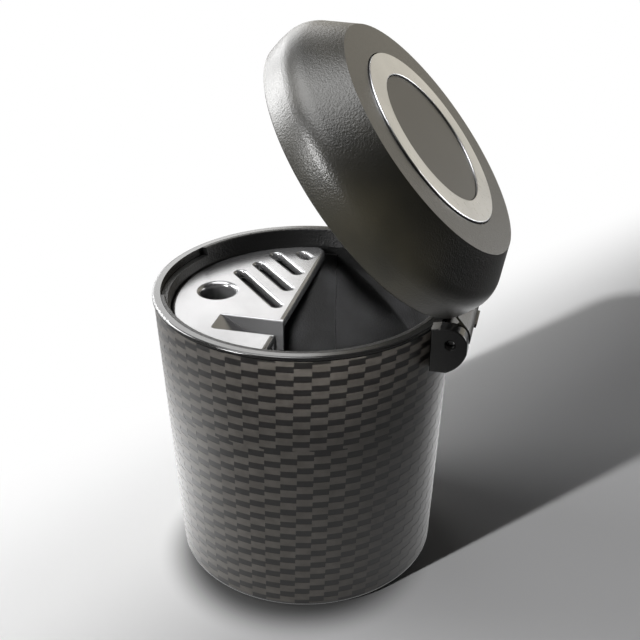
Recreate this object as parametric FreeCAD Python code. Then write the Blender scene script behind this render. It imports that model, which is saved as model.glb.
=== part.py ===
import FreeCAD, Part
import math
import os

# Cup-shaped car ashtray with a hinged lid. Millimetres, Z up. The origin is the middle of the
# foot on the table, the hinge is on the +X side and the finger notch on the -X side.

# Outer cup
rim_height = 70.4
cup_base_radius = 32.15
cup_top_radius = 35.2
cup_wall = 1.6
cup_floor = 2.0
cup_foot_round = 1.2
cup_corner_round = 3.0
foot_width = 3.4
foot_recess = 0.9
cup_lip = 0.75

# Collar: the ring on top of the cup, with its spigot and the hinge block
rim_overhang = 0.3
flange_thickness = 0.8
flange_round = 0.55
shadow_gap = 0.35
spigot_depth = 10.0
spigot_wall = 1.25
spigot_fit = 0.1

# Hinge
hinge_reach = 1.15
hinge_drop = 3.35
ear_radius = 3.72
ear_outside = 16.1
ear_thickness = 3.6
ear_root = 3.1
ear_top_run = 2.35
ear_foot_drop = 10.4
ear_corner_drop = 1.85
ear_corner_run = 0.65
ear_corner_bulge = 0.8
ear_gap = 0.3
ear_edge_round = 0.3
pad_inset = 2.6
arm_radius = 4.0
barrel_radius = 2.2
arm_side_gap = 0.3
arm_back_gap = 0.3
arm_edge_round = 0.25
pocket_depth = 4.8
arm_lower_angle = 15.0
pin_radius = 1.05
pin_recess = 2.0
pin_chamfer = 0.2
pin_ear_fit = 0.02
pin_arm_fit = 0.06
hole_chamfer = 0.25

# Lid positions, in degrees from closed
lid_shown_angle = 50.6
lid_travel = 90.0
lug_angle = 35.0
lug_height = 0.5
lug_width = 0.9
lug_length = 7.0
stop_gap = 0.15
stop_span = 20.0
stop_length = 8.0
stop_top_gap = 0.2

# Ash liner
rim_land = 2.0
liner_flange_depth = 3.1
liner_lip_width = 0.96
liner_wall = 1.3
liner_fit = 0.2
liner_floor = 1.5
liner_floor_gap = 0.8
liner_corner_round = 5.0
liner_mouth_round = 0.25
liner_step = 0.5
liner_step_x = 0.5
notch_width = 28.0
notch_depth = 2.05

# Pressed insert plate with its openings
plate_gap = 0.3
pattern_radius = 31.166
plate_drop = 4.2
plate_chord_x = -1.9
plate_thickness = 0.7
plate_skirt = 2.0
plate_edge_round = 0.9
plate_edge_inner_round = 0.22
plate_corner_round = 3.0
stub_x = -21.5
stub_y = -0.4
stub_radius = 4.1
stub_collar_depth = 5.0
stub_flare = 1.3
slot_angle = -47.4
slot_end_x = -5.6
slot_end_y = -4.4
slot_pitch = 9.3
slot_lengths = (20.2, 15.6, 12.0, 2.4)
slot_width = 2.3
slot_collar_depth = 2.0
slot_flare = 0.8
rest_left_x = -16.8
rest_front_y = -18.8
rest_back_y = -12.1
rest_depth = 9.0
rest_valley_round = 0.35
rest_edge_round = 0.45
rest_overrun = 3.0

# Lid shell
lid_gap = 0.2
lid_height = 16.15
lid_top_inset = 6.8
lid_shoulder_inset = 1.4
lid_shoulder_drop = 6.3
lid_swell = 0.25
lid_widest_drop = 10.7
lid_edge_inset = 0.3
lid_wall = 1.6
lid_top_wall = 2.2
lid_edge_round = 0.3

# Trim on the lid
ring_inset = 7.55
ring_width = 5.48
ring_proud = 0.43
ring_round = 0.25
trim_seat_depth = 1.0
trim_gap = 0.25
disc_fit = 0.08
disc_chamfer = 0.12

# Lid lining and its seal
lining_fit = 0.15
lining_inset = 0.3
lining_rim_width = 3.2
lining_rim_height = 3.0
lining_wall = 1.2
lining_ceiling_height = 9.0
lining_corner_round = 2.0
seal_gap = 0.64
seal_width = 0.9
seal_reach = 0.7
seal_seat_depth = 2.0
seal_tip_round = 0.3
seal_seat_gap = 0.02

# Worked-out places
rim_radius = cup_top_radius + rim_overhang
cup_top = rim_height - flange_thickness - shadow_gap
flange_under = rim_height - flange_thickness
spigot_foot = flange_under - spigot_depth
hinge_x = rim_radius + hinge_reach
hinge_height = rim_height - hinge_drop
ear_back = rim_radius - ear_root
ear_bottom = rim_height - ear_foot_drop
liner_flange_radius = rim_radius - rim_land
liner_mouth_radius = liner_flange_radius - liner_lip_width
band_radius = liner_flange_radius + spigot_fit
ledge_height = rim_height - liner_flange_depth
ear_inside = ear_outside - ear_thickness
arm_half = ear_inside - arm_side_gap
pad_half = ear_outside - pad_inset
pocket_x = hinge_x - barrel_radius - arm_back_gap
pocket_bottom = hinge_height - pocket_depth
liner_bottom = foot_recess + cup_floor + liner_floor_gap
liner_floor_top = liner_bottom + liner_floor
plate_top = rim_height - plate_drop
plate_seat = plate_top - plate_skirt
lid_bottom = rim_height + lid_gap
lid_top = rim_height + lid_height
lid_top_radius = rim_radius - lid_top_inset
lid_shoulder_radius = rim_radius - lid_shoulder_inset
lid_widest_radius = rim_radius + lid_swell
lid_edge_radius = rim_radius - lid_edge_inset
lid_inner_radius = lid_edge_radius - lid_wall
ring_outer_radius = lid_top_radius - ring_inset
ring_inner_radius = ring_outer_radius - ring_width
lining_bottom = lid_bottom + lining_inset
lining_radius = lid_inner_radius - lining_fit
seal_outer_radius = liner_mouth_radius - seal_gap
far = 100.0

up = FreeCAD.Vector(0, 0, 1)
across = FreeCAD.Vector(0, 1, 0)
centre = FreeCAD.Vector(0, 0, 0)


def at(radius, height):
    return FreeCAD.Vector(radius, 0, height)


def polar(middle, radius, degrees):
    angle = math.radians(degrees)
    return middle + FreeCAD.Vector(radius * math.cos(angle), 0, radius * math.sin(angle))


def bulged(first, last, bulge):
    """Point beside the middle of a span, on its right-hand side seen from -Y."""
    run = last - first
    side = FreeCAD.Vector(run.z, 0, -run.x)
    return (first + last) * 0.5 + side * (bulge / side.Length)


def outline(start, *steps):
    """Closed face. A point is reached by a line, a pair (through, end) by an arc."""
    edges = []
    here = start
    for step in steps + (start,):
        if isinstance(step, tuple):
            edges.append(Part.Arc(here, step[0], step[1]).toShape())
            here = step[1]
        elif (step - here).Length > 1e-6:
            edges.append(Part.LineSegment(here, step).toShape())
            here = step
    return Part.Face(Part.Wire(edges))


def turned(face):
    return face.revolve(centre, up, 360)


def block(x_from, x_to, half_width, z_from, z_to):
    size = (x_to - x_from, 2 * half_width, z_to - z_from)
    return Part.makeBox(*size, FreeCAD.Vector(x_from, -half_width, z_from))


def rod(radius, half_length):
    start = FreeCAD.Vector(hinge_x, -half_length, hinge_height)
    return Part.makeCylinder(radius, 2 * half_length, start, across)


def extruded(face, half_width):
    face.translate(across * -half_width)
    return face.extrude(across * (2 * half_width))


def side_edges(shape, half_width):
    """Edges that lie in the two upright faces at this distance from the middle plane."""
    return [e for e in shape.Edges if e.BoundBox.YLength < 1e-3
            and abs(abs(e.BoundBox.YMin) - half_width) < 1e-3]


def cup_radius(height):
    return cup_base_radius + (cup_top_radius - cup_base_radius) * height / cup_top


def spigot_outer(height):
    return cup_radius(height) - cup_lip - spigot_fit


def spigot_inner(height):
    return spigot_outer(height) - spigot_wall


def liner_outer(height):
    return spigot_inner(height) - liner_fit


def liner_inner(height):
    return liner_outer(height) - liner_wall


def outer_cup():
    floor_top = foot_recess + cup_floor
    foot_inner = cup_base_radius - cup_foot_round - foot_width
    corner_top = floor_top + cup_corner_round
    corner_radius = cup_radius(corner_top) - cup_wall
    corner_middle = at(corner_radius - cup_corner_round, corner_top)
    foot_middle = at(cup_radius(cup_foot_round) - cup_foot_round, cup_foot_round)
    shell = turned(outline(
        at(0, foot_recess),
        at(foot_inner, foot_recess),
        at(foot_inner, 0),
        at(foot_middle.x, 0),
        (polar(foot_middle, cup_foot_round, -45), polar(foot_middle, cup_foot_round, 0)),
        at(cup_top_radius, cup_top),
        at(cup_top_radius - cup_lip, cup_top),
        at(cup_radius(spigot_foot) - cup_lip, spigot_foot),
        at(cup_radius(spigot_foot) - cup_wall, spigot_foot),
        at(corner_radius, corner_top),
        (polar(corner_middle, cup_corner_round, -45), at(corner_middle.x, floor_top)),
        at(0, floor_top),
    ))
    hinge_notch = block(0, far, pad_half + spigot_fit, ear_bottom - spigot_fit, far)
    return shell.cut(hinge_notch)


def collar_ring():
    top_middle = at(rim_radius - flange_round, rim_height - flange_round)
    spigot_end = spigot_foot + spigot_fit
    return turned(outline(
        at(rim_radius, flange_under),
        polar(top_middle, flange_round, 0),
        (polar(top_middle, flange_round, 45), polar(top_middle, flange_round, 90)),
        at(band_radius, rim_height),
        at(band_radius, ledge_height),
        at(spigot_inner(ledge_height), ledge_height),
        at(spigot_inner(spigot_end), spigot_end),
        at(spigot_outer(spigot_end), spigot_end),
        at(spigot_outer(flange_under), flange_under),
    ))


def ear_block():
    """Both ears and the shelf between them, as one D-shaped block outside the cup."""
    ear_top = hinge_height + ear_radius
    axis = at(hinge_x, hinge_height)
    corner_top = at(hinge_x + ear_radius, hinge_height - ear_corner_drop)
    corner_foot = at(hinge_x - ear_corner_run, ear_bottom)
    shape = extruded(outline(
        at(ear_back, ear_bottom),
        at(ear_back, rim_height),
        at(hinge_x - ear_top_run, ear_top),
        at(hinge_x, ear_top),
        (polar(axis, ear_radius, 45), polar(axis, ear_radius, 0)),
        corner_top,
        (bulged(corner_foot, corner_top, ear_corner_bulge), corner_foot),
    ), ear_outside)
    shape = shape.makeFillet(ear_edge_round, side_edges(shape, ear_outside))
    beside_cup = turned(outline(
        at(0, 0),
        at(cup_radius(0) + ear_gap, 0),
        at(cup_radius(flange_under) + ear_gap, flange_under),
        at(0, flange_under),
    ))
    return shape.cut(beside_cup)


def hinge_pad():
    """Solid stretch of the collar that fills the notch in the cup and carries the ears."""
    wall = turned(outline(
        at(spigot_inner(ear_bottom), ear_bottom),
        at(cup_radius(ear_bottom) + ear_gap + spigot_fit, ear_bottom),
        at(cup_radius(flange_under) + ear_gap + spigot_fit, flange_under),
        at(spigot_inner(flange_under), flange_under),
    ))
    return wall.common(block(ear_back - ear_radius, far, pad_half, 0, far))


def stop_rib():
    """Rib on the pocket floor that the lug meets when the lid is fully open."""
    axis = at(hinge_x, hinge_height)
    top_radius = arm_radius + stop_top_gap
    face = lug_angle - lid_travel - math.degrees((lug_width / 2 + stop_gap) / top_radius)
    near = polar(axis, top_radius, face)
    back = polar(axis, top_radius, face - stop_span)
    foot = pocket_bottom - stop_top_gap
    return extruded(outline(
        at(near.x, foot),
        near,
        (polar(axis, top_radius, face - stop_span / 2), back),
        at(back.x, foot),
    ), stop_length / 2)


def collar():
    bore = turned(outline(
        at(0, 0),
        at(spigot_inner(0), 0),
        at(spigot_inner(ledge_height), ledge_height),
        at(band_radius, ledge_height),
        at(band_radius, far),
        at(0, far),
    ))
    body = collar_ring().fuse([ear_block(), hinge_pad()]).cut(bore)
    pocket = block(pocket_x, far, ear_inside, pocket_bottom, far)
    lid_room = block(0, far, ear_inside, rim_height, far)
    body = body.cut([pocket, lid_room]).fuse(stop_rib())
    body = body.cut(rod(pin_radius + pin_ear_fit, far)).removeSplitter()
    return body.makeChamfer(hole_chamfer, [e for e in side_edges(body, ear_outside) if e.isClosed()])


def liner_cavity(inset):
    """Inside of the bin, made smaller all round by the inset."""
    corner_top = liner_floor_top + liner_corner_round
    corner_radius = liner_inner(corner_top) - inset
    middle = at(corner_radius - liner_corner_round, corner_top)
    return turned(outline(
        at(0, liner_floor_top),
        at(middle.x, liner_floor_top),
        (polar(middle, liner_corner_round, -45), at(corner_radius, corner_top)),
        at(liner_inner(plate_top) - inset, plate_top),
        at(0, plate_top),
    ))


def liner_funnel():
    lip_middle = at(liner_mouth_radius + liner_mouth_round, rim_height - liner_mouth_round)
    return turned(outline(
        at(0, plate_top),
        at(liner_inner(plate_top), plate_top),
        polar(lip_middle, liner_mouth_round, 180),
        (polar(lip_middle, liner_mouth_round, 135), polar(lip_middle, liner_mouth_round, 90)),
        at(lip_middle.x, far),
        at(0, far),
    ))


def ash_liner():
    corner_top = liner_bottom + liner_corner_round
    corner_radius = liner_outer(corner_top)
    middle = at(corner_radius - liner_corner_round, corner_top)
    outside = turned(outline(
        at(0, liner_bottom),
        at(middle.x, liner_bottom),
        (polar(middle, liner_corner_round, -45), at(corner_radius, corner_top)),
        at(liner_outer(ledge_height), ledge_height),
        at(liner_flange_radius, ledge_height),
        at(liner_flange_radius, rim_height),
        at(0, rim_height),
    ))
    shell = outside.cut(liner_cavity(0)).cut(liner_funnel())
    plate_side = block(-far, liner_step_x, far, 0, plate_seat)
    step = liner_cavity(0).common(plate_side).cut(liner_cavity(liner_step))
    notch = block(-far, -liner_mouth_radius / 2, notch_width / 2, rim_height - notch_depth, far)
    return shell.fuse(step).cut(notch).removeSplitter()


def plate_radius():
    return liner_inner(plate_top) - plate_gap


def plan(length):
    """A length of the plate's drawn pattern, scaled to the plate's present radius."""
    return length * plate_radius() / pattern_radius


def plate_blank(inset, top, edge_round):
    """D-shaped block with rounded corners and a rounded top edge."""
    radius = plate_radius() - inset
    disc = Part.makeCylinder(radius, plate_skirt, at(0, top - plate_skirt))
    chord = plate_chord_x - inset
    shape = disc.cut(block(chord, far, far, 0, far))
    uprights = [e for e in shape.Edges if abs(e.tangentAt(e.FirstParameter).z) > 0.99
                and abs(e.Vertexes[0].X - chord) < 1e-4]
    shape = shape.makeFillet(plate_corner_round - inset, uprights)
    top_edges = [e for e in shape.Edges if abs(e.BoundBox.ZMin - top) < 1e-4]
    return shape.makeFillet(edge_round, top_edges)


def slot_face(length, half_width, height):
    """Flat slot with round ends, as long as its centre line plus one width."""
    angle = math.radians(slot_angle)
    along = FreeCAD.Vector(math.cos(angle), math.sin(angle), 0)
    side = FreeCAD.Vector(-along.y, along.x, 0) * half_width
    near = FreeCAD.Vector(0, 0, height)
    tip = near - along * plan(length)
    corners = (near + side, near + along * half_width, near - side)
    others = (tip - side, tip - along * half_width, tip + side)
    edges = (
        Part.Arc(*corners).toShape(),
        Part.LineSegment(corners[2], others[0]).toShape(),
        Part.Arc(*others).toShape(),
        Part.LineSegment(others[2], corners[0]).toShape(),
    )
    return Part.Face(Part.Wire(edges))


def slot_prism(index, half_width, bottom, top):
    face = slot_face(slot_lengths[index], half_width, bottom)
    face.translate(FreeCAD.Vector(plan(slot_end_x), plan(slot_end_y + index * slot_pitch), 0))
    return face.extrude(up * (top - bottom))


def rest_floor(x):
    """Height of the sloping floor of the cigarette rest."""
    run = x - plan(rest_left_x)
    return plate_top - run * rest_depth / (plate_chord_x - plan(rest_left_x))


def rest_hollow():
    """Open wedge of the cigarette rest, with its two valleys rounded."""
    x_start = plan(rest_left_x) - plate_thickness
    x_end = plate_chord_x + rest_overrun
    face = outline(
        at(x_start, rest_floor(x_start)),
        at(x_end, rest_floor(x_end)),
        at(x_end, rest_floor(x_start)),
    )
    face.translate(across * plan(rest_front_y))
    wedge = face.extrude(across * plan(rest_back_y - rest_front_y))
    valleys = [e for e in wedge.Edges if e.BoundBox.XLength > 1 and e.BoundBox.ZLength > 1]
    return wedge.makeFillet(rest_valley_round, valleys)


def rest_channel():
    """Sheet channel below the plate, thicker than the hollow by one sheet all round."""
    x_start = plan(rest_left_x) - plate_thickness
    face = outline(
        at(x_start, plate_top),
        at(x_start, plate_top - plate_thickness),
        at(plate_chord_x, rest_floor(plate_chord_x) - plate_thickness),
        at(plate_chord_x, plate_top),
    )
    face.translate(across * (plan(rest_front_y) - plate_thickness))
    return face.extrude(across * (plan(rest_back_y - rest_front_y) + 2 * plate_thickness))


def borders(edge, opening):
    """True where the middle of the edge lies on the opening."""
    middle = edge.valueAt((edge.FirstParameter + edge.LastParameter) / 2)
    return opening.distToShape(Part.Vertex(middle))[0] < 1e-4


def flat_edges(shape, height):
    """Edges that lie level at the given height."""
    return [e for e in shape.Edges if abs(e.BoundBox.ZMin - height) < 1e-4
            and abs(e.BoundBox.ZMax - height) < 1e-4]


def flared(plate, opening, flare):
    """Rounds the top edge of one opening in the plate."""
    rim = [e for e in flat_edges(plate, plate_top) if borders(e, opening)]
    return plate.makeFillet(flare, rim)


def flared_rest(plate):
    """Rounds the long back ridge and the front edge of the cigarette rest."""
    ridges = [e for e in flat_edges(plate, plate_top) if e.BoundBox.YLength < 1e-3
              and plan(rest_front_y) - 0.01 < e.BoundBox.YMin < plan(rest_back_y) + 0.01]
    return plate.makeFillet(rest_edge_round, ridges)


def snuffer_plate():
    under = plate_top - plate_thickness
    plate = plate_blank(0, plate_top, plate_edge_round)
    plate = plate.cut(plate_blank(plate_thickness, under, plate_edge_inner_round))
    stub_place = FreeCAD.Vector(plan(stub_x), plan(stub_y), plate_top - stub_collar_depth)
    collars = [Part.makeCylinder(stub_radius + plate_thickness,
                                 stub_collar_depth - plate_thickness, stub_place)]
    holes = [Part.makeCylinder(stub_radius, stub_collar_depth, stub_place)]
    for index in range(len(slot_lengths)):
        collars.append(slot_prism(index, slot_width / 2 + plate_thickness,
                                  plate_top - slot_collar_depth, under))
        holes.append(slot_prism(index, slot_width / 2, plate_top - slot_collar_depth, plate_top))
    plate = plate.fuse(collars + [rest_channel()]).cut(holes).cut(rest_hollow())
    plate = plate.removeSplitter()
    plate = flared(plate, holes[0], stub_flare)
    for hole in holes[1:]:
        plate = flared(plate, hole, slot_flare)
    return flared_rest(plate)


def hinge_pin():
    half_length = ear_outside - pin_recess
    pin = rod(pin_radius, half_length)
    ends = [e for e in pin.Edges if e.BoundBox.YLength < 1e-3]
    return pin.makeChamfer(pin_chamfer, ends)


def swell(widest, other):
    """Point halfway along an arc that stands upright at the widest point."""
    run = widest.x - other.x
    rise = other.z - widest.z
    radius = (run * run + rise * rise) / (2 * run)
    middle = at(widest.x - radius, widest.z)
    reach = math.degrees(math.atan2(rise, other.x - middle.x))
    return polar(middle, radius, reach / 2)


def lid_outside():
    shoulder = at(lid_shoulder_radius, lid_top - lid_shoulder_drop)
    widest = at(lid_widest_radius, lid_top - lid_widest_drop)
    edge_middle = at(lid_edge_radius - lid_edge_round, lid_bottom + lid_edge_round)
    edge = polar(edge_middle, lid_edge_round, 0)
    return turned(outline(
        at(0, lid_bottom),
        at(edge_middle.x, lid_bottom),
        (polar(edge_middle, lid_edge_round, -45), edge),
        (swell(widest, edge), widest),
        (swell(widest, shoulder), shoulder),
        at(lid_top_radius, lid_top),
        at(0, lid_top),
    ))


def lid_inside():
    """Hollow of the lid, one wall inside its outer form and open at the bottom."""
    slope = math.atan2(lid_shoulder_drop, lid_shoulder_radius - lid_top_radius)
    ceiling = lid_top - lid_top_wall
    shoulder = at(lid_shoulder_radius - lid_wall * math.sin(slope),
                  lid_top - lid_shoulder_drop - lid_wall * math.cos(slope))
    widest = at(lid_widest_radius - lid_wall, lid_top - lid_widest_drop)
    edge = at(lid_inner_radius, lid_bottom)
    corner = at(shoulder.x - (ceiling - shoulder.z) / math.tan(slope), ceiling)
    return turned(outline(
        at(0, lid_bottom - lid_top_wall),
        at(lid_inner_radius, lid_bottom - lid_top_wall),
        edge,
        (swell(widest, edge), widest),
        (swell(widest, shoulder), shoulder),
        corner,
        at(0, ceiling),
    ))


def lid_arm():
    """Hinge arm of the closed lid: a barrel round the pin under a flat top."""
    axis = at(hinge_x, hinge_height)
    plate_under = lid_bottom
    arm_top = hinge_height + arm_radius
    root_x = hinge_x - barrel_radius - arm_radius
    barrel_start = arm_lower_angle - 90
    arm = extruded(outline(
        at(hinge_x - barrel_radius, hinge_height),
        at(hinge_x - barrel_radius, plate_under),
        at(root_x, plate_under),
        at(root_x, arm_top),
        at(hinge_x, arm_top),
        (polar(axis, arm_radius, 45), polar(axis, arm_radius, -arm_lower_angle)),
        polar(axis, barrel_radius, barrel_start),
        (polar(axis, barrel_radius, barrel_start / 2 - 90), polar(axis, barrel_radius, -180)),
    ), arm_half)
    top_edges = [e for e in side_edges(arm, arm_half)
                 if abs(e.BoundBox.ZMax - arm_top) < 1e-3 and e.BoundBox.XLength > 1e-3]
    return arm.makeFillet(arm_edge_round, top_edges)


def stop_lug():
    lug = block(hinge_x + barrel_radius, hinge_x + arm_radius + lug_height, lug_length / 2,
                hinge_height - lug_width / 2, hinge_height + lug_width / 2)
    lug.rotate(at(hinge_x, hinge_height), across, -lug_angle)
    return lug


def lid_shell():
    shell = lid_outside().fuse([lid_arm(), stop_lug()]).cut(lid_inside())
    seat = Part.makeCylinder(ring_outer_radius + trim_gap, far, at(0, lid_top - trim_seat_depth))
    shell = shell.cut(seat).cut(rod(pin_radius + pin_arm_fit, far))
    return shell.removeSplitter()


def lid_ring():
    bottom = lid_top - trim_seat_depth
    top = lid_top + ring_proud
    outer_middle = at(ring_outer_radius - ring_round, top - ring_round)
    inner_middle = at(ring_inner_radius + ring_round, top - ring_round)
    return turned(outline(
        at(ring_inner_radius, bottom),
        at(ring_outer_radius, bottom),
        polar(outer_middle, ring_round, 0),
        (polar(outer_middle, ring_round, 45), polar(outer_middle, ring_round, 90)),
        polar(inner_middle, ring_round, 90),
        (polar(inner_middle, ring_round, 135), polar(inner_middle, ring_round, 180)),
    ))


def lid_disc():
    radius = ring_inner_radius - disc_fit
    bottom = lid_top - trim_seat_depth
    return turned(outline(
        at(0, bottom),
        at(radius, bottom),
        at(radius, lid_top - disc_chamfer),
        at(radius - disc_chamfer, lid_top),
        at(0, lid_top),
    ))


def seal_band(bottom, gap):
    outer = Part.makeCylinder(seal_outer_radius + gap, lining_bottom + seal_seat_depth - bottom,
                              at(0, bottom))
    inner = Part.makeCylinder(seal_outer_radius - seal_width - gap, far, at(0, 0))
    return outer.cut(inner)


def lid_lining():
    """Dish that lines the lid, with a thick rim that holds the seal in a groove."""
    rim_top = lining_bottom + lining_rim_height
    rim_inner = lining_radius - lining_rim_width
    ceiling = lid_bottom + lining_ceiling_height
    outer = rim_inner + lining_wall
    middle = at(rim_inner - lining_corner_round, ceiling - lining_corner_round)
    outer_round = lining_corner_round + lining_wall
    dish = turned(outline(
        at(rim_inner, lining_bottom),
        at(lining_radius, lining_bottom),
        at(lining_radius, rim_top),
        at(outer, rim_top),
        polar(middle, outer_round, 0),
        (polar(middle, outer_round, 45), polar(middle, outer_round, 90)),
        at(0, ceiling + lining_wall),
        at(0, ceiling),
        polar(middle, lining_corner_round, 90),
        (polar(middle, lining_corner_round, 45), polar(middle, lining_corner_round, 0)),
    ))
    return dish.cut(seal_band(lining_bottom - seal_reach, seal_seat_gap))


def lid_seal():
    tip = lid_bottom - seal_reach
    band = seal_band(tip, 0)
    return band.makeFillet(seal_tip_round, flat_edges(band, tip))


def save(name, shape):
    """Writes one solid to parts/, and stops if the shape is not a single solid."""
    if len(shape.Solids) != 1 or not shape.isValid():
        raise ValueError(name + " is not one valid solid")
    solid = shape.Solids[0]
    solid.exportStep("parts/" + name + ".step")
    box = solid.BoundBox
    print(name, round(solid.Volume, 1), "mm3, z", round(box.ZMin, 2), "to", round(box.ZMax, 2))


os.makedirs("parts", exist_ok=True)

fixed_parts = {
    "outer_cup": outer_cup,
    "collar": collar,
    "ash_liner": ash_liner,
    "snuffer_plate": snuffer_plate,
    "hinge_pin": hinge_pin,
}
lid_parts = {
    "lid_shell": lid_shell,
    "lid_lining": lid_lining,
    "lid_seal": lid_seal,
    "lid_ring": lid_ring,
    "lid_disc": lid_disc,
}

for name, maker in fixed_parts.items():
    save(name, maker())

for name, maker in lid_parts.items():
    part = maker()
    part.rotate(at(hinge_x, hinge_height), across, lid_shown_angle)
    save(name, part)
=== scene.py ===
import math

import bmesh
import bpy
from mathutils import Matrix, Vector


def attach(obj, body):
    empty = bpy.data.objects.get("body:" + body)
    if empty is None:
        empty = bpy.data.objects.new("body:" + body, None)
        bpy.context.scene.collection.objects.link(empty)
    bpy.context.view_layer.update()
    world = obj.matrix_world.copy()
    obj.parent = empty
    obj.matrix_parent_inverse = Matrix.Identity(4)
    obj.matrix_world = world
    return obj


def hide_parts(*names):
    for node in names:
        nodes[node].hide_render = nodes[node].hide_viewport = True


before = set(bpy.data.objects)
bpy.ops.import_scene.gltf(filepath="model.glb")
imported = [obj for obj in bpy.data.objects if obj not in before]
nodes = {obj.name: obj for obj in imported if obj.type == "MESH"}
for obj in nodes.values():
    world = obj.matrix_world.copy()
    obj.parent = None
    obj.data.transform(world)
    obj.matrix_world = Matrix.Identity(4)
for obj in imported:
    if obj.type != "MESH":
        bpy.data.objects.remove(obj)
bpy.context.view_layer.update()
mm = 0.001
bpy.ops.object.select_all(action="DESELECT")
print("frame loaded:", len(nodes), "nodes")


# small helpers
def toLinear(red, green, blue):  # colours are written as 0-255 screen values
    shades = []
    for value in (red, green, blue):
        share = value / 255
        shades.append(share / 12.92 if share <= 0.04045 else ((share + 0.055) / 1.055) ** 2.4)
    return (*shades, 1.0)


def addNode(material, kind, **values):
    node = material.node_tree.nodes.new(kind)
    for name, value in values.items():
        if hasattr(node, name):
            setattr(node, name, value)
        else:
            node.inputs[name.replace("_", " ")].default_value = value
    return node


def link(material, source, output, target, socket):  # sockets by name, or by number where two share a name
    material.node_tree.links.new(source.outputs[output], target.inputs[socket])


def newFinish(name, roughness, metallic=0.0, specular=0.5):
    material = bpy.data.materials.new(name)
    material.use_nodes = True
    shader = material.node_tree.nodes["Principled BSDF"]
    shader.inputs["Metallic"].default_value = metallic
    shader.inputs["Roughness"].default_value = roughness
    shader.inputs["Specular IOR Level"].default_value = specular
    return material, shader


def addPlace(material, scale, turn=0.0):
    coordinates = addNode(material, "ShaderNodeTexCoord")
    mapping = addNode(material, "ShaderNodeMapping")
    mapping.inputs["Scale"].default_value = scale
    mapping.inputs["Rotation"].default_value = (0, 0, turn)
    link(material, coordinates, "Object", mapping, "Vector")
    return mapping


def shadeFrom(material, source, output, shades, span=(0.35, 0.65)):  # the span suits a noise pattern
    ramp = addNode(material, "ShaderNodeValToRGB")
    ramp.color_ramp.elements[0].position, ramp.color_ramp.elements[1].position = span
    ramp.color_ramp.elements[0].color = toLinear(*shades[0])
    ramp.color_ramp.elements[1].color = toLinear(*shades[1])
    link(material, source, output, ramp, "Fac")
    return ramp


def roughFrom(material, source, output, shader, span):
    remap = addNode(material, "ShaderNodeMapRange", To_Min=span[0], To_Max=span[1])
    link(material, source, output, remap, "Value")
    link(material, remap, "Result", shader, "Roughness")


def bumpFrom(material, source, output, depth, strength=1.0, under=None):
    bump = addNode(material, "ShaderNodeBump", Distance=depth, Strength=strength)
    link(material, source, output, bump, "Height")
    if under:
        link(material, under, "Normal", bump, "Normal")
    return bump


# eases from low to high while the source runs from start to end
def smoothSpan(material, source, output, start, end, low=0.0, high=1.0):
    span = addNode(material, "ShaderNodeMapRange", interpolation_type="SMOOTHSTEP",
                   From_Min=start, From_Max=end, To_Min=low, To_Max=high)
    link(material, source, output, span, "Value")
    return span


def alongAxis(material, place, output, direction):  # how far a place lies along a direction
    along = addNode(material, "ShaderNodeVectorMath", operation="DOT_PRODUCT")
    along.inputs[1].default_value = direction
    link(material, place, output, along, 0)
    return along


def joined(material, operation, first, second):  # each value is a node and its output
    joint = addNode(material, "ShaderNodeMath", operation=operation)
    link(material, *first, joint, 0)
    link(material, *second, joint, 1)
    return joint


def dress(node, material):
    piece = nodes[node]
    piece.data.materials.clear()
    piece.data.materials.append(material)


# finishes; these values are shared by several, the tones are in repeats per metre
texture = dict(cellBlend=0.35, wanderShare=0.6, grainTone=90.0, plainTone=70.0, metalTone=60.0,
               filmTone=320.0)


def grainedPlastic(name, settings):  # moulded plastic with a fine leather grain
    material, shader = newFinish(name, settings["roughness"][0], specular=settings.get("specular", 0.5))
    place = addPlace(material, (1, 1, 1))
    cells = addNode(material, "ShaderNodeTexVoronoi", feature="SMOOTH_F1",
                    Scale=1 / (settings["grainSize"] * mm), Smoothness=texture["cellBlend"], Randomness=1.0)
    wander = addNode(material, "ShaderNodeTexNoise",
                     Scale=texture["wanderShare"] / (settings["grainSize"] * mm), Detail=3.0)
    tone = addNode(material, "ShaderNodeTexNoise", Scale=texture["grainTone"], Detail=4.0)
    for pattern in (cells, wander, tone):
        link(material, place, "Vector", pattern, "Vector")
    ramp = shadeFrom(material, tone, "Fac", settings["shades"])
    roughFrom(material, wander, "Fac", shader, settings["roughness"])
    if "paintedLipFrom" in settings:  # painted shade: the lip above the wall is painted blacker
        height = addNode(material, "ShaderNodeSeparateXYZ")
        link(material, place, "Vector", height, "Vector")
        lip = smoothSpan(material, height, "Z", settings["paintedLipFrom"] * mm, settings["paintedLipTo"] * mm)
        paintedLipMix = addNode(material, "ShaderNodeMixRGB")
        link(material, lip, "Result", paintedLipMix, "Fac")
        link(material, ramp, "Color", paintedLipMix, "Color1")
        paintedLipMix.inputs["Color2"].default_value = toLinear(*settings["paintedLipTone"])
        link(material, paintedLipMix, "Color", shader, "Base Color")
    else:
        link(material, ramp, "Color", shader, "Base Color")
    low = bumpFrom(material, wander, "Fac", settings["grainDepth"] * mm)
    grain = bumpFrom(material, cells, "Distance", settings["grainDepth"] * mm, 1.0, low)
    link(material, grain, "Normal", shader, "Normal")
    return material


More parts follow.
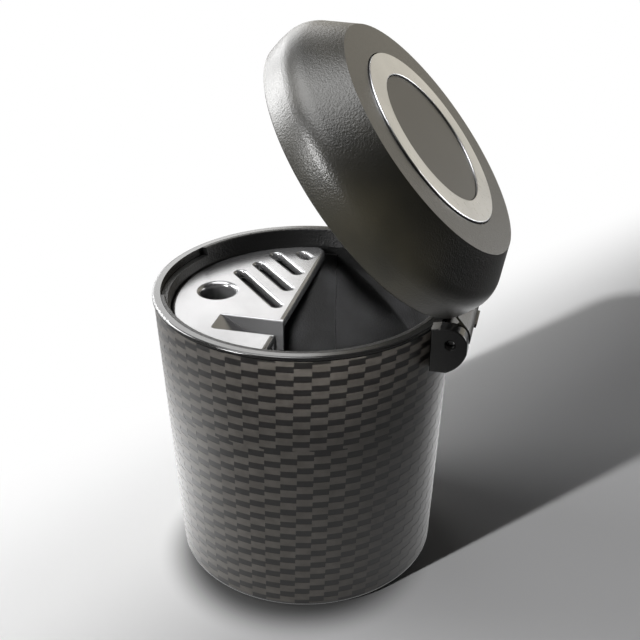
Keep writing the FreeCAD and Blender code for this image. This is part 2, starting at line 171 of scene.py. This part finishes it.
def smoothPlastic(name, settings):  # plain moulded plastic with a faint orange peel
    material, shader = newFinish(name, settings["roughness"][0], specular=settings.get("specular", 0.5))
    place = addPlace(material, (1, 1, 1))
    peel = addNode(material, "ShaderNodeTexNoise", Scale=settings["peelScale"], Detail=3.0)
    tone = addNode(material, "ShaderNodeTexNoise", Scale=texture["plainTone"], Detail=5.0)
    for pattern in (peel, tone):
        link(material, place, "Vector", pattern, "Vector")
    ramp = shadeFrom(material, tone, "Fac", settings["shades"])
    link(material, ramp, "Color", shader, "Base Color")
    roughFrom(material, tone, "Fac", shader, settings["roughness"])
    bump = bumpFrom(material, peel, "Fac", settings["peelDepth"] * mm)
    link(material, bump, "Normal", shader, "Normal")
    return material


def satinMetal(name, settings):  # brushed or satin-plated metal
    material, shader = newFinish(name, settings["roughness"][0], metallic=settings.get("metallic", 1.0))
    place = addPlace(material, settings["stretch"], turn=settings.get("turn", 0.0))
    lines = addNode(material, "ShaderNodeTexNoise", Scale=settings["lineScale"], Detail=4.0)
    even = addPlace(material, (1, 1, 1))
    tone = addNode(material, "ShaderNodeTexNoise", Scale=texture["metalTone"], Detail=4.0)
    link(material, place, "Vector", lines, "Vector")
    link(material, even, "Vector", tone, "Vector")
    ramp = shadeFrom(material, tone, "Fac", settings["shades"])
    link(material, ramp, "Color", shader, "Base Color")
    roughFrom(material, lines, "Fac", shader, settings["roughness"])
    bump = bumpFrom(material, lines, "Fac", settings["lineDepth"] * mm)
    link(material, bump, "Normal", shader, "Normal")
    return material


def wovenFilm(name, settings):  # one tone of the weave's bricks: fine threads under a satin coat
    material, shader = newFinish(name, settings["roughness"][0])
    place = addPlace(material, settings["stretch"])
    threads = addNode(material, "ShaderNodeTexNoise", Scale=settings["threadScale"], Detail=2.0)
    even = addPlace(material, (1, 1, 1))
    tone = addNode(material, "ShaderNodeTexNoise", Scale=texture["filmTone"], Detail=4.0)
    link(material, place, "Vector", threads, "Vector")
    link(material, even, "Vector", tone, "Vector")
    ramp = shadeFrom(material, tone, "Fac", settings["shades"])
    link(material, ramp, "Color", shader, "Base Color")
    roughFrom(material, threads, "Fac", shader, settings["roughness"])
    bump = bumpFrom(material, threads, "Fac", settings["threadDepth"] * mm)
    link(material, bump, "Normal", shader, "Normal")
    return material


finishes = {
    "lidGrain": dict(shades=((24, 23, 18), (34, 32, 25)), roughness=(0.32, 0.42),
                     grainSize=0.36, grainDepth=0.032),
    "liningGrain": dict(shades=((22, 22, 22), (32, 32, 33)), roughness=(0.38, 0.5), specular=0.35,
                        grainSize=0.5, grainDepth=0.06),
    # painted light and shade: the bin's wall has lighter shades to stand in for light falling inside it, and
    # the lip above is painted near black as shade
    "linerGrain": dict(shades=((36, 36, 36), (48, 48, 49)), roughness=(0.38, 0.5), specular=0.35,
                       grainSize=0.5, grainDepth=0.06, paintedLipFrom=58.0, paintedLipTo=62.0, paintedLipTone=(7, 7, 7)),
    "rimBlack": dict(shades=((14, 14, 14), (20, 20, 19)), roughness=(0.15, 0.22), specular=0.6,
                     peelScale=900.0, peelDepth=0.003),
    "discGrey": dict(shades=((56, 52, 43), (64, 60, 50)), roughness=(0.4, 0.5),
                     peelScale=2600.0, peelDepth=0.008),
    "sealBlack": dict(shades=((22, 22, 22), (30, 30, 30)), roughness=(0.6, 0.75),
                      peelScale=1500.0, peelDepth=0.01),
    "plateSatin": dict(shades=((122, 122, 123), (137, 137, 138)), roughness=(0.2, 0.3), metallic=0.77,
                       stretch=(12, 1, 1), turn=math.radians(-47), lineScale=420.0, lineDepth=0.002),
    "ringSatin": dict(shades=((170, 171, 173), (184, 185, 187)), roughness=(0.24, 0.34),
                      stretch=(1, 9, 1), lineScale=500.0, lineDepth=0.002),
    "pinSteel": dict(shades=((150, 150, 150), (180, 180, 180)), roughness=(0.2, 0.35),
                     stretch=(1, 8, 1), lineScale=600.0, lineDepth=0.003),
    "weaveDark": dict(shades=((15, 14, 13), (20, 19, 18)), roughness=(0.27, 0.36),
                      stretch=(1, 1, 16), threadScale=500.0, threadDepth=0.006),
    "weaveLight": dict(shades=((54, 51, 47), (64, 61, 57)), roughness=(0.3, 0.4),
                       stretch=(1, 1, 16), threadScale=500.0, threadDepth=0.006),
}

makers = {
    grainedPlastic: ("lidGrain", "linerGrain", "liningGrain"),
    smoothPlastic: ("rimBlack", "discGrey", "sealBlack"),
    satinMetal: ("plateSatin", "ringSatin", "pinSteel"),
    wovenFilm: ("weaveDark", "weaveLight"),
}
materials = {name: make(name, finishes[name]) for make, names in makers.items() for name in names}
print("finishes made:", len(finishes))


# carried-over pieces and their finishes
carriedOver = {
    "collar": "rimBlack", "ash_liner": "linerGrain", "snuffer_plate": "plateSatin", "hinge_pin": "pinSteel",
    "lid_shell": "lidGrain", "lid_lining": "liningGrain", "lid_seal": "sealBlack", "lid_ring": "ringSatin",
    "lid_disc": "discGrey",
}
for node, finish in carriedOver.items():
    dress(node, materials[finish])
print("carried-over pieces dressed")


# outer cup with its embossed weave, in mm and degrees, the lean in degrees per mm
cup = dict(
    baseRadius=32.15, topRadius=35.2, top=69.25, wall=1.6, lip=0.75, floor=2.0,
    footRound=1.2, footWidth=3.4, footRecess=0.9, cornerRound=3.0, spigotFoot=59.6,
    columns=58, piecesPerColumn=3, firstColumn=13, rowsPerPeriod=13, darkRows=6, shiftRows=4, rowSlack=0.2,
    filmEdge=100.0, skinBand=0.3, rimEdge=1e-4,
    lowerPeriod=3.6, lowerStart=0.46, lowerTurn=2.03, upperPeriod=3.37, upperStart=0.12, upperTurn=0.19,
    lean=0.055, leanHeight=35.0, seamHeight=46.3, seamSlack=0.01, weaveFoot=1.3, depth=0.03,
    notchHalf=13.6, notchBottom=59.9, notchStart=12.0, notchReach=40.0, notchRise=20.0,
    arcSteps=6, smoothAngle=28.0, weld=0.001, sliver=0.0001,
)
brickSlots = ("weaveLight", "weaveDark", "rimBlack")


def cupRadius(height):
    return cup["baseRadius"] + (cup["topRadius"] - cup["baseRadius"]) * height / cup["top"]


def arcRun(middle, radius, start, end, count):  # points of an arc in the profile, in mm
    points = []
    for step in range(count + 1):
        angle = math.radians(start + (end - start) * step / count)
        points.append((middle[0] + radius * math.cos(angle), middle[1] + radius * math.sin(angle)))
    return points


def turnProfile(name, points, steps):  # a ring of profile points spun round the upright axis
    bpy.ops.mesh.primitive_circle_add(vertices=len(points), radius=0.01)
    piece = bpy.context.object
    piece.name = name
    for vertex, (radius, height) in zip(piece.data.vertices, points):
        vertex.co = (radius * mm, 0, height * mm)
    bpy.ops.object.mode_set(mode="EDIT")
    bpy.ops.mesh.select_all(action="SELECT")
    bpy.ops.mesh.spin(steps=steps, angle=2 * math.pi, center=(0, 0, 0), axis=(0, 0, 1))
    bpy.ops.mesh.select_all(action="SELECT")
    bpy.ops.mesh.remove_doubles(threshold=cup["weld"] * mm)
    bpy.ops.mesh.dissolve_degenerate(threshold=cup["sliver"] * mm)
    bpy.ops.mesh.normals_make_consistent(inside=False)
    bpy.ops.mesh.select_all(action="DESELECT")
    bpy.ops.object.mode_set(mode="OBJECT")
    return piece


def rowHeights():  # levels of the weave's rows, which are finer above the seam
    heights = []
    spans = (("lower", cup["weaveFoot"], cup["seamHeight"]), ("upper", cup["seamHeight"], cup["top"]))
    for part, low, high in spans:
        row = cup[part + "Period"] / cup["rowsPerPeriod"]
        first = math.ceil((low - cup[part + "Start"]) / row + cup["rowSlack"])
        height = cup[part + "Start"] + first * row
        while height < high - cup["rowSlack"] * row:
            heights.append(height)
            height += row
        heights.append(high)
    return heights


def cupProfile():
    floorTop = cup["footRecess"] + cup["floor"]
    footMiddle = (cupRadius(cup["footRound"]) - cup["footRound"], cup["footRound"])
    footInner = cup["baseRadius"] - cup["footRound"] - cup["footWidth"]
    cornerTop = floorTop + cup["cornerRound"]
    cornerRadius = cupRadius(cornerTop) - cup["wall"]
    cornerMiddle = (cornerRadius - cup["cornerRound"], cornerTop)
    points = [(0, cup["footRecess"]), (footInner, cup["footRecess"]), (footInner, 0)]
    points += arcRun(footMiddle, cup["footRound"], -90, 0, cup["arcSteps"])
    points += [(cupRadius(height), height) for height in rowHeights()]
    points += [(cup["topRadius"] - cup["lip"], cup["top"]),
               (cupRadius(cup["spigotFoot"]) - cup["lip"], cup["spigotFoot"]),
               (cupRadius(cup["spigotFoot"]) - cup["wall"], cup["spigotFoot"])]
    points += arcRun(cornerMiddle, cup["cornerRound"], 0, -90, cup["arcSteps"])
    points.append((0, floorTop))
    return points


cupBody = turnProfile("cup_body", cupProfile(), cup["columns"] * cup["piecesPerColumn"])
for finish in brickSlots:
    cupBody.data.materials.append(materials[finish])


def isDarkBrick(face):  # None off the weave, True on the dark bricks, which are pressed in
    middle = face.calc_center_median() / mm
    radius = math.hypot(middle.x, middle.y)
    onSkin = radius >= cupRadius(middle.z) - cup["skinBand"]
    if not onSkin or middle.z < cup["weaveFoot"] or middle.z > cup["top"] - cup["rimEdge"]:
        return None
    part = "lower" if middle.z < cup["seamHeight"] else "upper"
    angle = math.degrees(math.atan2(middle.y, middle.x))
    if angle > cup["filmEdge"]:
        angle -= 360
    column = math.floor(angle * cup["columns"] / 360) + cup["firstColumn"]
    row = math.floor((middle.z - cup[part + "Start"]) * cup["rowsPerPeriod"] / cup[part + "Period"])
    return (row - cup["shiftRows"] * column) % cup["rowsPerPeriod"] < cup["darkRows"]


mesh = cupBody.data
working = bmesh.new()
working.from_mesh(mesh)
darkFaces = []
for face in working.faces:
    dark = isDarkBrick(face)
    face.material_index = brickSlots.index("rimBlack") if dark is None else int(dark)
    if dark:
        darkFaces.append(face.index)
working.to_mesh(mesh)
working.free()
for index in darkFaces:
    mesh.polygons[index].select = True
bpy.context.view_layer.objects.active = cupBody
bpy.ops.object.mode_set(mode="EDIT")
bpy.ops.mesh.select_mode(type="FACE")
bpy.ops.mesh.extrude_region_shrink_fatten(TRANSFORM_OT_shrink_fatten={"value": -cup["depth"] * mm})
bpy.ops.mesh.select_all(action="DESELECT")
bpy.ops.object.mode_set(mode="OBJECT")
for vertex in mesh.vertices:  # the columns lean a little, and step sideways at the seam
    height = vertex.co.z / mm
    turn = cup["lowerTurn"] if height < cup["seamHeight"] - cup["seamSlack"] else cup["upperTurn"]
    turn += cup["lean"] * (height - cup["leanHeight"])
    vertex.co = Matrix.Rotation(math.radians(turn), 3, "Z") @ vertex.co

# notch for the hinge block
bpy.ops.mesh.primitive_cube_add(size=1)
cutter = bpy.context.object
cutter.name = "hinge_notch"
cutter.dimensions = (cup["notchReach"] * mm, 2 * cup["notchHalf"] * mm, cup["notchRise"] * mm)
cutter.location = ((cup["notchStart"] + cup["notchReach"] / 2) * mm, 0,
                   (cup["notchBottom"] + cup["notchRise"] / 2) * mm)
bpy.ops.object.transform_apply(location=True, rotation=True, scale=True)
notch = cupBody.modifiers.new("notch", "BOOLEAN")
notch.object = cutter
notch.operation = "DIFFERENCE"
notch.solver = "EXACT"
bpy.context.view_layer.objects.active = cupBody
bpy.ops.object.modifier_apply(modifier="notch")
bpy.data.objects.remove(cutter)
bpy.ops.object.select_all(action="DESELECT")
cupBody.select_set(True)
bpy.ops.object.shade_smooth_by_angle(angle=math.radians(cup["smoothAngle"]))
cupBody.select_set(False)
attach(cupBody, "tray")
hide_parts("outer_cup")
print("cup body made:", len(cupBody.data.polygons), "faces")


# floor and its light, in m and degrees
stageSet = dict(
    floorSize=6.0, floorDrop=0.0002, floorShade=(240, 240, 240), floorRough=0.9, floorShine=0.1,
    # painted shade on the paper towards the front-right
    paintedShadeDirection=(0.866, -0.5, 0), shadeFrom=-0.03, shadeTo=0.034, paintedShadeTone=(188, 188, 189),
    # painted contact shadow round the foot
    paintedShadowCentre=(-0.0005, -0.0085, 0), paintedShadowFrom=0.024, paintedShadowTo=0.036, paintedShadowTone=(74, 74, 74),
    whiteDirection=(-0.82, 0.57, 0), whiteFrom=0.02, whiteTo=0.075, farFrom=0.25, farTo=0.5,
    # a painted glow on the floor that only glossy rays see
    glossDirection=(-0.6, 0.8, 0), glossFrom=-0.035, glossTo=0.035, glossSides=(0.42, 2.3),
    nearRadius=0.042, farRadius=0.15, glossRings=(1.5, 0.05), glossShare=0.8,
    edgeFrom=0.07, edgeTo=0.12, paintedEdgeGlow=0.45,
    backAzimuth=66.0, backRise=0.0, backSpread=62.0, backFade=3.0, backGlow=1.0, backTone=(255, 247, 229),
    fillLight=0.028, aimHeight=0.06,
)

bpy.ops.mesh.primitive_plane_add(size=stageSet["floorSize"], location=(0, 0, -stageSet["floorDrop"]))
floor = bpy.context.object
floor.name = "floor"


def paperFloor():  # pale paper with painted shade towards the front-right, a painted contact shadow round the foot and a painted glow that only shiny pieces see, running out into the white background away from the ashtray
    material, shader = newFinish("floorPaper", stageSet["floorRough"], specular=stageSet["floorShine"])
    place = addNode(material, "ShaderNodeTexCoord")
    # painted shade: the paper is painted darker towards the front-right, standing in for the soft shadow the
    # ashtray casts there
    across = alongAxis(material, place, "Object", stageSet["paintedShadeDirection"])
    paintedShade = smoothSpan(material, across, "Value", stageSet["shadeFrom"], stageSet["shadeTo"])
    paperWithPaintedShade = shadeFrom(material, paintedShade, "Result", (stageSet["floorShade"], stageSet["paintedShadeTone"]), (0.0, 1.0))

    # painted contact shadow: a soft dark patch painted round the foot, its centre shifted to the front
    foot = addNode(material, "ShaderNodeVectorMath", operation="DISTANCE")
    foot.inputs[1].default_value = stageSet["paintedShadowCentre"]
    link(material, place, "Object", foot, 0)
    paintedShadow = smoothSpan(material, foot, "Value", stageSet["paintedShadowFrom"], stageSet["paintedShadowTo"])
    paperWithPaintedShadow = addNode(material, "ShaderNodeMixRGB")
    paperWithPaintedShadow.inputs["Color1"].default_value = toLinear(*stageSet["paintedShadowTone"])
    link(material, paintedShadow, "Result", paperWithPaintedShadow, "Fac")
    link(material, paperWithPaintedShade, "Color", paperWithPaintedShadow, "Color2")
    link(material, paperWithPaintedShadow, "Color", shader, "Base Color")

    # the paper turns white for the camera towards the back and far out
    behind = alongAxis(material, place, "Object", stageSet["whiteDirection"])
    away = addNode(material, "ShaderNodeVectorMath", operation="LENGTH")
    link(material, place, "Object", away, 0)
    back = smoothSpan(material, behind, "Value", stageSet["whiteFrom"], stageSet["whiteTo"])
    far = smoothSpan(material, away, "Value", stageSet["farFrom"], stageSet["farTo"])
    fade = joined(material, "MAXIMUM", (back, "Result"), (far, "Result"))
    rays = addNode(material, "ShaderNodeLightPath")
    seen = joined(material, "MULTIPLY", (rays, "Is Camera Ray"), (fade, "Value"))
    mirrored = addNode(material, "ShaderNodeMath", operation="MULTIPLY")
    link(material, rays, "Is Glossy Ray", mirrored, 0)
    mirrored.inputs[1].default_value = stageSet["glossShare"]
    amount = joined(material, "MAXIMUM", (seen, "Value"), (mirrored, "Value"))

    # painted glow: the floor glows white for glossy rays only, a painted reflection for the shiny pieces,
    # brighter on one side, darker further out, with a brighter band further along that side
    side = alongAxis(material, place, "Object", stageSet["glossDirection"])
    sides = smoothSpan(material, side, "Value", stageSet["glossFrom"], stageSet["glossTo"],
                       *stageSet["glossSides"])
    rings = smoothSpan(material, away, "Value", stageSet["nearRadius"], stageSet["farRadius"],
                       *stageSet["glossRings"])
    edge = smoothSpan(material, side, "Value", stageSet["edgeFrom"], stageSet["edgeTo"],
                      0.0, stageSet["paintedEdgeGlow"])
    glow = joined(material, "MULTIPLY", (sides, "Result"), (rings, "Result"))
    paintedGlossGlow = joined(material, "ADD", (glow, "Value"), (edge, "Result"))
    strength = addNode(material, "ShaderNodeMapRange")
    strength.inputs["To Min"].default_value = 1.0
    link(material, rays, "Is Glossy Ray", strength, "Value")
    link(material, paintedGlossGlow, "Value", strength, "To Max")
    backdropWhiteAndPaintedGlow = addNode(material, "ShaderNodeEmission")
    backdropWhiteAndPaintedGlow.inputs["Color"].default_value = (1, 1, 1, 1)
    link(material, strength, "Result", backdropWhiteAndPaintedGlow, "Strength")
    mix = addNode(material, "ShaderNodeMixShader")
    link(material, amount, "Value", mix, 0)
    link(material, shader, "BSDF", mix, 1)
    link(material, backdropWhiteAndPaintedGlow, "Emission", mix, 2)
    link(material, mix, "Shader", material.node_tree.nodes["Material Output"], "Surface")
    return material


floor.data.materials.append(paperFloor())


def headed(azimuth, rise):  # unit vector towards a place on the sky
    flat, up = math.radians(azimuth), math.radians(rise)
    return Vector((math.cos(flat) * math.cos(up), math.sin(flat) * math.cos(up), math.sin(up)))


# white for the camera, a soft glow for shiny pieces, a weak fill for the rest
world = bpy.data.worlds.new("studio")
bpy.context.scene.world = world
world.use_nodes = True
world.node_tree.nodes.clear()
skyOut = addNode(world, "ShaderNodeOutputWorld")
whiteSky = addNode(world, "ShaderNodeBackground", Color=(1, 1, 1, 1))
glossSky = addNode(world, "ShaderNodeBackground", Color=toLinear(*stageSet["backTone"]))
fillSky = addNode(world, "ShaderNodeBackground", Color=(1, 1, 1, 1), Strength=stageSet["fillLight"])
rays = addNode(world, "ShaderNodeLightPath")
place = addNode(world, "ShaderNodeTexCoord")
facing = alongAxis(world, place, "Generated", headed(stageSet["backAzimuth"], stageSet["backRise"]))
glow = smoothSpan(world, facing, "Value", math.cos(math.radians(stageSet["backSpread"])),
                  math.cos(math.radians(stageSet["backSpread"] / stageSet["backFade"])),
                  stageSet["fillLight"], stageSet["backGlow"])
link(world, glow, "Result", glossSky, "Strength")
glossMix = addNode(world, "ShaderNodeMixShader")
link(world, rays, "Is Glossy Ray", glossMix, 0)
link(world, fillSky, "Background", glossMix, 1)
link(world, glossSky, "Background", glossMix, 2)
skyMix = addNode(world, "ShaderNodeMixShader")
link(world, rays, "Is Camera Ray", skyMix, 0)
link(world, glossMix, "Shader", skyMix, 1)
link(world, whiteSky, "Background", skyMix, 2)
link(world, skyMix, "Shader", skyOut, "Surface")

# azimuth, rise, distance in m, size in m, power in W, lights surfaces, shows in gloss
lamps = {
    "key": (231.4, 23.4, 2.0, 0.08, 46.0, True, False),
    "sideLow": (180.0, 20.0, 0.6, 0.4, 1.9, True, False),
    "sideBack": (130.0, 38.0, 0.7, 0.45, 0.4, True, False),
    "sideFront": (205.0, 38.0, 0.7, 0.45, 0.5, True, False),
    "cardBackLeft": (152.0, 12.0, 0.6, 0.6, 4.2, False, True),
    "cardLeft": (172.0, 28.0, 0.6, 0.36, 4.6, False, True),
    "cardTop": (200.0, 80.0, 0.6, 0.5, 5.2, False, True),
    "cardFront": (232.0, 25.0, 0.8, 0.24, 7.0, False, True),
    "cardBack": (120.0, 30.0, 0.34, 0.18, 0.3, False, True),
    "cardRight": (34.0, 2.0, 0.5, 0.3, 1.4, False, True),
}


def softLamp(name, azimuth, rise, distance, size, power, lightsSurfaces, showsInGloss):
    direction = headed(azimuth, rise)
    data = bpy.data.lights.new(name, "AREA")
    data.shape = "DISK"
    data.size = size
    data.energy = power
    lamp = bpy.data.objects.new(name, data)
    bpy.context.scene.collection.objects.link(lamp)
    lamp.location = Vector((0, 0, stageSet["aimHeight"])) + direction * distance
    lamp.rotation_euler = direction.to_track_quat("Z", "Y").to_euler()
    lamp.visible_camera = False
    lamp.visible_diffuse = lightsSurfaces
    lamp.visible_glossy = showsInGloss


for name, values in lamps.items():
    softLamp(name, *values)

# narrow beam on the bin's wall
inside = dict(azimuth=283.0, rise=30.0, distance=0.4, target=(-0.002, 0.03, 0.046), power=36.0, cone=4.4,
              blend=0.6, size=0.02)
insideDirection = headed(inside["azimuth"], inside["rise"])
spot = bpy.data.lights.new("inside", "SPOT")
spot.energy = inside["power"]
spot.spot_size = math.radians(inside["cone"])
spot.spot_blend = inside["blend"]
spot.shadow_soft_size = inside["size"]
spotLamp = bpy.data.objects.new("inside", spot)
bpy.context.scene.collection.objects.link(spotLamp)
spotLamp.location = Vector(inside["target"]) + insideDirection * inside["distance"]
spotLamp.rotation_euler = insideDirection.to_track_quat("Z", "Y").to_euler()
spotLamp.visible_glossy = False

# camera fitted to the photo, in mm and degrees
view = dict(place=(56.4, -208.6, 174.0), azimuth=14.16, rise=27.71, roll=-0.171, lens=57.29, film=36.0,
            near=10.0)
cameraData = bpy.data.cameras.new("camera")
cameraData.lens = view["lens"]
cameraData.sensor_width = view["film"]
cameraData.clip_start = view["near"] * mm
camera = bpy.data.objects.new("camera", cameraData)
bpy.context.scene.collection.objects.link(camera)
turn = (Matrix.Rotation(math.radians(view["azimuth"]), 4, "Z")
        @ Matrix.Rotation(math.radians(90 - view["rise"]), 4, "X")
        @ Matrix.Rotation(math.radians(view["roll"]), 4, "Z"))
camera.matrix_world = Matrix.Translation(Vector(view["place"]) * mm) @ turn
bpy.context.scene.camera = camera
bpy.context.scene.view_settings.view_transform = "Standard"
print("stage, lights and camera set")
